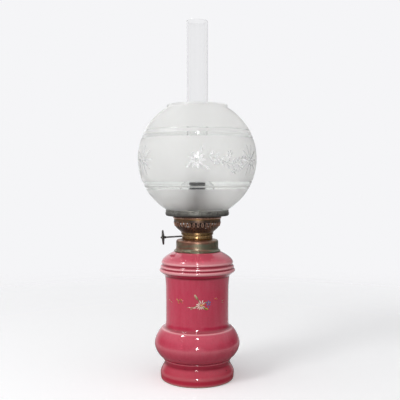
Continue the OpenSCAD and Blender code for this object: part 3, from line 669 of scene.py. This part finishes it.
def stem_mask(tree, ground):
    """1 on a waving stem and on the pairs of leaves along it."""
    start, end, step = STEM
    spot = put(tree, "ShaderNodeSeparateXYZ", {0: ground.outputs[0]})
    wave = put(tree, "ShaderNodeMath", {0: spot.outputs[0], 1: 0.1}, operation="MULTIPLY")
    wave = put(tree, "ShaderNodeMath", {0: wave.outputs[0]}, operation="SINE")
    off = put(tree, "ShaderNodeMath", {0: wave.outputs[0], 1: -4.5, 2: spot.outputs[1]}, operation="MULTIPLY_ADD")
    off = put(tree, "ShaderNodeMath", {0: off.outputs[0]}, operation="ABSOLUTE")
    along = put(tree, "ShaderNodeMath", {0: spot.outputs[0], 1: step}, operation="FLOORED_MODULO")
    cell = put(tree, "ShaderNodeCombineXYZ", {0: along.outputs[0], 1: off.outputs[0]})
    leaf = leaf_mask(tree, cell, 0.6, 0.6, 48, 8.5, 3.2)
    line = put(tree, "ShaderNodeMapRange", {"Value": off.outputs[0], "From Min": 0.7, "From Max": 0.3})
    both = put(tree, "ShaderNodeMath", {0: leaf.outputs[0], 1: line.outputs[0]}, operation="MAXIMUM")
    middle = put(tree, "ShaderNodeMath", {0: spot.outputs[0], 1: (start + end) / 2}, operation="SUBTRACT")
    middle = put(tree, "ShaderNodeMath", {0: middle.outputs[0]}, operation="ABSOLUTE")
    within = put(tree, "ShaderNodeMath", {0: middle.outputs[0], 1: (end - start) / 2}, operation="LESS_THAN")
    return put(tree, "ShaderNodeMath", {0: both.outputs[0], 1: within.outputs[0]}, operation="MULTIPLY")


def spray_mask(tree, place, radius):
    """1 on all the sprays' flowers and leaves."""
    ground = spray_ground(tree, place, radius)
    masks = [daisy_mask(tree, ground, *daisy) for daisy in DAISIES]
    masks += [leaf_mask(tree, ground, *leaf) for leaf in LEAVES]
    whole = stem_mask(tree, ground)
    for mask in masks:
        whole = put(tree, "ShaderNodeMath", {0: whole.outputs[0], 1: mask.outputs[0]}, operation="MAXIMUM")
    return whole


def frosted_glass():
    """Clear glass frosted outside by acid, which leaves a fine satin skin, with bands left clear."""
    made, tree, output = new_finish("frosted_glass")
    place = put(tree, "ShaderNodeTexCoord")
    spot = put(tree, "ShaderNodeSeparateXYZ", {0: place.outputs["Object"]})
    clear_mask = None
    for low, high in BANDS:
        middle = put(tree, "ShaderNodeMath", {0: spot.outputs[2], 1: (low + high) / 2}, operation="SUBTRACT")
        away = put(tree, "ShaderNodeMath", {0: middle.outputs[0]}, operation="ABSOLUTE")
        band = put(tree, "ShaderNodeMapRange", {"Value": away.outputs[0], "From Min": (high - low) / 2 + 0.0002,
                                                "From Max": (high - low) / 2 - 0.0002})
        if clear_mask is None:
            clear_mask = band
        else:
            clear_mask = put(tree, "ShaderNodeMath", {0: clear_mask.outputs[0], 1: band.outputs[0]},
                             operation="MAXIMUM")
    sprays = spray_mask(tree, place, 78.5 * MM)
    rough = put(tree, "ShaderNodeMapRange", {"Value": clear_mask.outputs[0], "To Min": 0.58, "To Max": 0.08})
    rough = put(tree, "ShaderNodeMath", {0: sprays.outputs[0], 1: -0.46, 2: rough.outputs[0]}, operation="MULTIPLY_ADD")
    through = put(tree, "ShaderNodeMapRange", {"Value": clear_mask.outputs[0], "To Min": 0.9, "To Max": 1.0})
    through = put(tree, "ShaderNodeMath", {0: sprays.outputs[0], 1: -0.12, 2: through.outputs[0]},
                  operation="MULTIPLY_ADD")
    grain = put(tree, "ShaderNodeTexNoise", {"Vector": place.outputs["Object"], "Scale": 260, "Detail": 3})
    frost_tone = put(tree, "ShaderNodeMix", {"Factor": grain.outputs["Fac"], "A": paint("#f7f7f5"),
                                             "B": paint("#fcfcfb")}, data_type="RGBA")
    spray_tone = put(tree, "ShaderNodeMix", {"Factor": sprays.outputs[0], "A": frost_tone.outputs["Result"],
                                             "B": paint("#ffffff")}, data_type="RGBA")
    tone = put(tree, "ShaderNodeMix", {"Factor": clear_mask.outputs[0], "A": spray_tone.outputs["Result"],
                                       "B": paint("#f2f3f1")}, data_type="RGBA")
    cut = put(tree, "ShaderNodeBump", {"Height": sprays.outputs[0], "Strength": 0.6, "Distance": 0.0006})
    glass = put(tree, "ShaderNodeBsdfPrincipled", {
        "Base Color": tone.outputs["Result"], "Roughness": rough.outputs[0], "IOR": 1.32,
        "Transmission Weight": through.outputs[0], "Normal": cut.outputs[0]})
    tree.links.new(glass.outputs[0], output.inputs["Surface"])
    return made


frosted = frosted_glass()


# Painted sprigs

def enamel(name, light, dark):
    """Overglaze enamel, brushed on and fired: opaque and slightly raised, thicker where the brush lingered."""
    made, tree, output = new_finish(name)
    place = put(tree, "ShaderNodeTexCoord")
    stroke = put(tree, "ShaderNodeTexNoise", {"Vector": place.outputs["Object"], "Scale": 600, "Detail": 2})
    load = put(tree, "ShaderNodeMapRange", {"Value": stroke.outputs["Fac"], "From Min": 0.38, "From Max": 0.62})
    tone = put(tree, "ShaderNodeMix", {"Factor": load.outputs[0], "A": paint(dark), "B": paint(light)},
               data_type="RGBA")
    fired = put(tree, "ShaderNodeBsdfPrincipled", {"Base Color": tone.outputs["Result"], "Roughness": 0.3, "IOR": 1.5})
    tree.links.new(fired.outputs[0], output.inputs["Surface"])
    return made


ENAMELS = {
    "white": enamel("white_enamel", "#fbf3e2", "#d9c3b0"), "yellow": enamel("yellow_enamel", "#e9cf62", "#c59a3a"),
    "orange": enamel("orange_enamel", "#ee8f45", "#cf5a34"), "green": enamel("green_enamel", "#7f8f46", "#56602c"),
    "olive": enamel("olive_enamel", "#b9ad86", "#857a4e"), "blue": enamel("blue_enamel", "#6478b8", "#42447c"),
    "beige": enamel("beige_enamel", "#cdb193", "#9d7d58"), "pink": enamel("pink_enamel", "#e79aa6", "#c95a70")}

# Brush strokes: colour, place from the sprig's heart across and up, turn in degrees, length and width, in mm
FLOWER = [("white", 1.6 * math.cos(math.radians(turn)), 1.6 * math.sin(math.radians(turn)), turn, long, 1.5)
          for turn, long in [(108, 5.2), (72, 5.4), (38, 4.4), (140, 3.6), (168, 5.2), (192, 6.4), (218, 5.2),
                             (246, 4.8), (274, 3.8), (300, 4.4), (330, 3.8)]]
BLUE_FLOWER = [("blue", 9.4 + 0.6 * math.cos(math.radians(turn)), 2.4 + 0.6 * math.sin(math.radians(turn)),
                turn, 3.0, 2.3) for turn in range(20, 380, 72)]
MAIN_SPRIG = FLOWER + BLUE_FLOWER + [
    ("yellow", -1.6, 0.1, 0, 3.2, 2.4), ("orange", 0.8, 0.3, 8, 4.6, 1.4), ("yellow", 8.9, 2.4, 20, 1.6, 1.5),
    ("green", -1.8, 2.8, 118, 7.5, 1.1), ("green", 1.6, -2.0, -38, 7.2, 2.0), ("yellow", 4.6, -3.4, -24, 5.2, 1.8),
    ("green", 2.6, 2.2, 24, 5.6, 1.3), ("green", -5.2, -2.4, 168, 4.2, 1.5), ("blue", 8.6, -1.4, -70, 2.8, 1.7),
    ("beige", -5.2, 8.0, 122, 6.8, 3.6), ("green", -4.7, 7.4, 98, 3.6, 1.2), ("green", -4.7, 7.4, 146, 3.4, 1.2),
    ("white", -6.2, -3.0, 186, 4.6, 1.7), ("olive", -9.4, -3.3, 165, 3.6, 1.4), ("olive", -10.6, -3.8, 205, 3.8, 1.5),
    ("white", -13.2, -3.2, 172, 3.2, 1.1), ("olive", -16.0, -2.8, 190, 2.6, 1.0)]
LEFT_SPRIG = [
    ("yellow", -4.6, 0.4, 112, 3.4, 1.0), ("yellow", -4.2, -0.4, 44, 3.2, 0.9), ("green", -3.0, 1.6, 10, 3.4, 1.3),
    ("orange", -4.0, -1.2, -32, 2.6, 1.2), ("green", -0.4, 0.2, -16, 2.8, 1.4), ("yellow", 0.6, 1.4, 64, 2.4, 1.0),
    ("pink", 1.8, 0.8, 28, 2.6, 1.8), ("green", -1.8, -0.4, 210, 2.6, 1.1), ("orange", 2.4, -0.6, -40, 2.0, 1.0)]
RIGHT_SPRIG = [("orange", 0, 0, 150, 2.6, 1.5), ("orange", 0.4, -0.4, 20, 2.8, 1.4), ("pink", 0.2, 0.2, 84, 2.0, 1.3)]
LEFT_LINE = [("olive", 0, 0, 168, 4.6, 0.7), ("olive", 0.4, -0.4, -24, 3.8, 0.7)]
RIGHT_LINE = [("olive", 0, 0, 10, 4.8, 0.7), ("olive", -0.6, -2.0, -6, 4.0, 0.6)]
# The sprigs' hearts: distance round the drum from the front, to the right, and height, in mm
SPRIGS = [(MAIN_SPRIG, 5.4, 104.8), (LEFT_SPRIG, -22.3, 108.6), (RIGHT_SPRIG, 25.6, 111.6),
          (LEFT_LINE, -40.5, 107.6), (RIGHT_LINE, 36.0, 108.0)]


def brush_stroke(verts, faces, drum, across, up, turn, long, wide, back):
    """A low closed dome of enamel in a petal's outline, wrapped round the drum."""
    sides = 12
    angle = math.radians(turn)
    first = len(verts)

    def lay(x, y, lift):
        s = across + x * math.cos(angle) - y * math.sin(angle)
        z = up + x * math.sin(angle) + y * math.cos(angle)
        round_drum = s * MM / drum + (math.pi if back else 0)
        radius = drum + lift * MM
        verts.append((radius * math.sin(round_drum), -radius * math.cos(round_drum), z * MM))

    for share, lift in [(1, -0.15), (1, 0.06), (0.62, 0.2)]:
        for k in range(sides):
            t = math.tau * k / sides
            x = long / 2 + long / 2 * share * -math.cos(t)
            y = wide / 2 * share * math.sin(t) * (0.75 - 0.25 * math.cos(t))
            lay(x, y, lift)
    lay(long / 2, 0, 0.24)
    lay(long / 2, 0, -0.15)
    for ring in range(2):
        for k in range(sides):
            n = (k + 1) % sides
            low, high = first + ring * sides, first + (ring + 1) * sides
            faces.append((low + k, low + n, high + n, high + k))
    top, bottom = first + 3 * sides, first + 3 * sides + 1
    for k in range(sides):
        n = (k + 1) % sides
        faces.append((first + 2 * sides + k, first + 2 * sides + n, top))
        faces.append((first + n, first + k, bottom))


def painted_sprigs():
    """Scattered flowers in enamel, on the drum's front and again on its back."""
    low, high = 0.098, 0.116
    points, _ = seam_profile("porcelain_body")
    drum = max(p.x for p in points if low < p.y < high) if any(low < p.y < high for p in points) else None
    if drum is None:
        below = max((p for p in points if p.y <= low), key=lambda p: (p.y, p.x))
        drum = below.x
    verts, faces, colours = [], [], []
    names = list(ENAMELS)
    for back in (False, True):
        for strokes, across, up in SPRIGS:
            for colour, x, y, turn, long, wide in strokes:
                count = len(faces)
                brush_stroke(verts, faces, drum, across + x, up + y, turn, long, wide, back)
                colours += [names.index(colour)] * (len(faces) - count)
    piece = mesh_piece("painted_sprigs", verts, faces)
    for name in names:
        piece.data.materials.append(ENAMELS[name])
    for face, colour in zip(piece.data.polygons, colours):
        face.material_index = colour
    face_outwards(piece)
    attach(piece, "lamp_base")


painted_sprigs()


# Pieces that stand for turned CAD nodes

def turned_pieces():
    rows = [
        ("porcelain_body", "glazed_body", rose, "lamp_base", "glazed_porcelain", dict(radius=0.8 * MM, rings=160)),
        ("collar_cap", "spun_collar", tarnished, "lamp_base", "tarnished_brass", dict(radius=0.15 * MM, step=0.5 * MM)),
        ("basket_hoop", "rolled_hoop", copper, "burner", "bronzed_brass", dict(radius=0.1 * MM, step=0.4 * MM)),
        ("shade_ring", "shade_dish", ring_black, "shade_ring", "blackened_brass", dict(radius=0.12 * MM, step=0.4 * MM)),
        ("ball_shade", "frosted_ball", frosted, "ball_shade", "frosted_glass", dict(radius=0.5 * MM, step=2.4 * MM)),
        ("chimney", "glass_chimney", clear, "chimney", "clear_glass", dict(radius=0.5 * MM, step=1.5 * MM, rings=96)),
    ]
    for node, name, made, body, slot, sizes in rows:
        piece = dress_turned(node, name, made, **sizes)
        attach(piece, body)
        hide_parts(node)


turned_pieces()


# Screw threads of the burner and its collar

def radii(node):
    """Smallest and largest radius of a CAD node."""
    spans = [math.hypot(v.co.x, v.co.y) for v in nodes[node].data.vertices]
    return min(spans), max(spans)


def threaded_ring(node, name, body, outside):
    """A ring with a rolled thread on its outside or its inside, fading out at both ends."""
    pitch, depth, row_step, sides = 1.6 * MM, 0.5 * MM, 0.2 * MM, 72
    low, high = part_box(node)[0][2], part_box(node)[1][2]
    inner, outer = radii(node)
    count = round((high - low) / row_step) + 1
    heights = [low + (high - low) * j / (count - 1) for j in range(count)]
    verts = []
    for k in range(sides):
        angle = math.tau * k / sides
        row = []
        for z in heights:
            phase = (z - low) / pitch - k / sides
            fade = min(1, (z - low) / pitch, (high - z) / pitch)
            cut = depth * (0.5 - 0.5 * math.cos(math.tau * phase)) * max(fade, 0)
            row.append((outer - cut if outside else inner + cut, z))
        wall = inner if outside else outer
        row += [(wall, high), (wall, low)]
        verts += [(r * math.cos(angle), r * math.sin(angle), z) for r, z in row]
    size = count + 2
    faces = []
    for k in range(sides):
        for j in range(size):
            here, beside = k * size, (k + 1) % sides * size
            faces.append((here + j, beside + j, beside + (j + 1) % size, here + (j + 1) % size))
    piece = mesh_piece(name, verts, faces, plain)
    face_outwards(piece)
    piece.data.set_sharp_from_angle(angle=math.radians(40))
    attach(piece, body)
    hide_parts(node)


threaded_ring("burner_screw_ring", "burner_thread", "burner", outside=True)
threaded_ring("collar_thread_ring", "collar_thread", "lamp_base", outside=False)


# Wick

def cotton():
    """Woven cotton wicking: soft and matt, with plaits that show as a small raised weave whose hollows are
    painted darker as shade, oil-stained below and charred at the top."""
    made, tree, output = new_finish("cotton_wicking")
    place = put(tree, "ShaderNodeTexCoord")
    laid = put(tree, "ShaderNodeUVMap", uv_map="cloth")
    # One thread is 0.9 mm wide, drawn coarser than the real 0.5 mm so that it shows
    thread = put(tree, "ShaderNodeMapping", {"Vector": laid.outputs[0], "Scale": (math.pi / 0.9, math.pi / 0.9, 1)})
    ways = put(tree, "ShaderNodeSeparateXYZ", {0: thread.outputs[0]})
    warp = put(tree, "ShaderNodeMath", {0: ways.outputs[0]}, operation="SINE")
    weft = put(tree, "ShaderNodeMath", {0: ways.outputs[1]}, operation="SINE")
    weave = put(tree, "ShaderNodeMath", {0: warp.outputs[0], 1: weft.outputs[0]}, operation="MULTIPLY")
    height = put(tree, "ShaderNodeMapRange", {"Value": weave.outputs[0], "From Min": -1.0})
    body = put(tree, "ShaderNodeSeparateXYZ", {0: place.outputs["Object"]})
    cloud = put(tree, "ShaderNodeTexNoise", {"Vector": place.outputs["Object"], "Scale": 60, "Detail": 3})
    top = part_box("wick")[1][2]
    ragged = put(tree, "ShaderNodeMath", {0: cloud.outputs["Fac"], 1: 0.004, 2: body.outputs[2]}, operation="MULTIPLY_ADD")
    char = put(tree, "ShaderNodeMapRange", {"Value": ragged.outputs[0], "From Min": top - 0.004, "From Max": top})
    oiled = put(tree, "ShaderNodeMapRange", {"Value": body.outputs[2], "From Min": 0.15, "From Max": 0.08})
    # Painted shade: the weave's low parts are darker and its raised threads lighter
    clean_with_weave_shade = put(tree, "ShaderNodeMix", {"Factor": height.outputs[0], "A": paint("#a89f8a"), "B": paint("#e9e2cf")},
                data_type="RGBA")
    wet = put(tree, "ShaderNodeMix", {"Factor": oiled.outputs[0], "A": clean_with_weave_shade.outputs["Result"], "B": paint("#b3a27c")},
              data_type="RGBA")
    burnt = put(tree, "ShaderNodeMix", {"Factor": char.outputs[0], "A": wet.outputs["Result"], "B": paint("#16110d")},
                data_type="RGBA")
    raised = put(tree, "ShaderNodeBump", {"Height": height.outputs[0], "Strength": 0.6, "Distance": 0.0003})
    cloth = put(tree, "ShaderNodeBsdfPrincipled", {
        "Base Color": burnt.outputs["Result"], "Roughness": 0.92, "Sheen Weight": 0.25, "Normal": raised.outputs[0]})
    tree.links.new(cloth.outputs[0], output.inputs["Surface"])
    return made


def rolled_wick():
    """A strip of wicking rolled into a sleeve round the draught tube, with its edges parted below the air duct."""
    low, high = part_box("wick")[0][2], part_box("wick")[1][2]
    inner, outer = radii("wick")
    corners = [v.co for v in nodes["wick"].data.vertices]
    parted = min(abs(p.x) for p in corners if p.y < -inner * 0.8 and p.z < low + MM)
    slit = max(p.z for p in corners if abs(abs(p.x) - parted) < 1e-5 and p.y < -inner * 0.8 and p.z < high - MM)
    thick = outer - inner - 0.16 * MM
    middle = (inner + outer) / 2
    around, rows = 64, 150
    verts, uvs = [], []
    for side in (1, -1):
        for j in range(rows + 1):
            z = low + (high - low) * j / rows
            opening = parted * min(1, max(0.02, 1 + (slit - z) / (3 * MM)))
            half = math.pi - math.asin(opening / inner) - 0.004
            for k in range(around + 1):
                angle = half * (2 * k / around - 1)
                ripple = 0.05 * MM * math.sin(9 * angle + z * 310) * math.sin(z * 190)
                radius = middle + ripple + side * thick / 2
                verts.append((radius * math.sin(angle), radius * math.cos(angle), z))
                uvs.append((middle * angle / MM, (z - low) / MM))
    faces = []
    size, wide = (rows + 1) * (around + 1), around + 1
    for j in range(rows):
        for k in range(around):
            a = j * wide + k
            faces.append((a, a + 1, a + wide + 1, a + wide))
            faces.append((size + a, size + a + wide, size + a + wide + 1, size + a + 1))
    for k in range(around):
        top = rows * wide + k
        faces.append((k + 1, k, size + k, size + k + 1))
        faces.append((top, top + 1, size + top + 1, size + top))
    for j in range(rows):
        a, b = j * wide, j * wide + around
        faces.append((a, a + wide, size + a + wide, size + a))
        faces.append((b + wide, b, size + b, size + b + wide))
    piece = mesh_piece("cotton_sleeve", verts, faces, cotton())
    cloth = piece.data.uv_layers.new(name="cloth")
    for loop in piece.data.loops:
        cloth.data[loop.index].uv = uvs[loop.vertex_index]
    face_outwards(piece)
    piece.data.set_sharp_from_angle(angle=math.radians(50))
    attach(piece, "wick")
    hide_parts("wick")


rolled_wick()


# Raised ovals of the basket

def oval_tree():
    """Geometry nodes: raised ovals set round a turned sheet, each leaning with the sheet."""
    tree = bpy.data.node_groups.new("raised_ovals", "GeometryNodeTree")
    sizes = [("Count", "NodeSocketInt"), ("Radius", "NodeSocketFloat"), ("Height", "NodeSocketFloat"),
             ("Turn", "NodeSocketFloat"), ("Lean", "NodeSocketFloat"), ("Width", "NodeSocketFloat"),
             ("Length", "NodeSocketFloat"), ("Bead", "NodeSocketFloat"), ("Finish", "NodeSocketMaterial")]
    for name, kind in sizes:
        tree.interface.new_socket(name, in_out="INPUT", socket_type=kind)
    tree.interface.new_socket("Geometry", in_out="OUTPUT", socket_type="NodeSocketGeometry")
    given = put(tree, "NodeGroupInput")
    around = put(tree, "GeometryNodeMeshCircle", {"Vertices": given.outputs["Count"],
                                                  "Radius": given.outputs["Radius"]})
    place = put(tree, "GeometryNodeInputPosition")
    facing = put(tree, "FunctionNodeAlignRotationToVector", {"Vector": place.outputs[0]}, axis="X")
    loop = put(tree, "GeometryNodeCurvePrimitiveCircle", {"Resolution": 14, "Radius": 0.5})
    stretch = put(tree, "ShaderNodeCombineXYZ", {0: given.outputs["Length"], 1: given.outputs["Width"], 2: 1.0})
    lean = put(tree, "ShaderNodeCombineXYZ", {1: given.outputs["Lean"]})
    oval = put(tree, "GeometryNodeTransform", {"Geometry": loop.outputs["Curve"], "Scale": stretch.outputs[0]})
    upright = put(tree, "GeometryNodeTransform", {"Geometry": oval.outputs[0], "Rotation": lean.outputs[0]})
    wire = put(tree, "GeometryNodeCurvePrimitiveCircle", {"Resolution": 6, "Radius": given.outputs["Bead"]})
    rim = put(tree, "GeometryNodeCurveToMesh", {"Curve": upright.outputs[0], "Profile Curve": wire.outputs["Curve"]})
    spread = put(tree, "GeometryNodeInstanceOnPoints", {"Points": around.outputs[0], "Instance": rim.outputs[0],
                                                        "Rotation": facing.outputs[0]})
    solid = put(tree, "GeometryNodeRealizeInstances", {"Geometry": spread.outputs[0]})
    lift = put(tree, "ShaderNodeCombineXYZ", {2: given.outputs["Height"]})
    turn = put(tree, "ShaderNodeCombineXYZ", {2: given.outputs["Turn"]})
    placed = put(tree, "GeometryNodeTransform", {"Geometry": solid.outputs[0], "Translation": lift.outputs[0],
                                                 "Rotation": turn.outputs[0]})
    finished = put(tree, "GeometryNodeSetMaterial", {"Geometry": placed.outputs[0],
                                                     "Material": given.outputs["Finish"]})
    put(tree, "NodeGroupOutput", {0: finished.outputs[0]})
    return tree


def grown(name, tree, inputs):
    """A plain mesh made by a geometry nodes tree with the named inputs."""
    seed = bpy.data.objects.new(name + "_seed", bpy.data.meshes.new(name + "_seed"))
    bpy.context.scene.collection.objects.link(seed)
    modifier = seed.modifiers.new("grow", "NODES")
    modifier.node_group = tree
    for socket in tree.interface.items_tree:
        if socket.in_out == "INPUT":
            modifier[socket.identifier] = inputs[socket.name]
    ready = seed.evaluated_get(bpy.context.evaluated_depsgraph_get())
    mesh = bpy.data.meshes.new_from_object(ready)
    mesh.name = name
    bpy.data.objects.remove(seed)
    piece = bpy.data.objects.new(name, mesh)
    bpy.context.scene.collection.objects.link(piece)
    mesh.shade_smooth()
    return piece


def skin_radius(node, height, reach):
    """Largest radius of a CAD node within a reach of a height."""
    return max(math.hypot(v.co.x, v.co.y) for v in nodes[node].data.vertices if abs(v.co.z - height) < reach)


def basket_ovals():
    """Raised ovals between the basket's piercings."""
    columns, share = 34, 0.63
    low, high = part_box("burner_basket")[0][2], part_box("burner_basket")[1][2]
    height = low + share * (high - low)
    reach = 1.2 * MM
    radius = skin_radius("burner_basket", height, 0.5 * MM)
    above = skin_radius("burner_basket", height + reach, 0.5 * MM)
    below = skin_radius("burner_basket", height - reach, 0.5 * MM)
    lean = math.atan2(above - below, 2 * reach)
    piece = grown("basket_ovals", oval_tree(), {
        "Count": columns, "Radius": radius, "Height": height, "Turn": 0.75 * math.tau / columns,
        "Lean": -math.pi / 2 + lean, "Width": 2.5 * MM, "Length": 5.4 * MM, "Bead": 0.36 * MM, "Finish": copper})
    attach(piece, "burner")


basket_ovals()

for node, made in [
        ("plaster_bed", plaster), ("burner_waist", rubbed),
        ("burner_deck", plain), ("burner_basket", bronzed), ("gallery_floor", plain),
        ("chimney_gallery", plain), ("outer_wick_tube", sooted), ("draught_tube", sooted), ("air_duct", plain),
        ("wheel_housing", plain), ("spindle_sleeve", plain), ("winder_spindle", steel), ("wick_wheels", plain),
        ("knob_disc", blackened), ("knob_rivet", steel)]:
    wear(node, made)
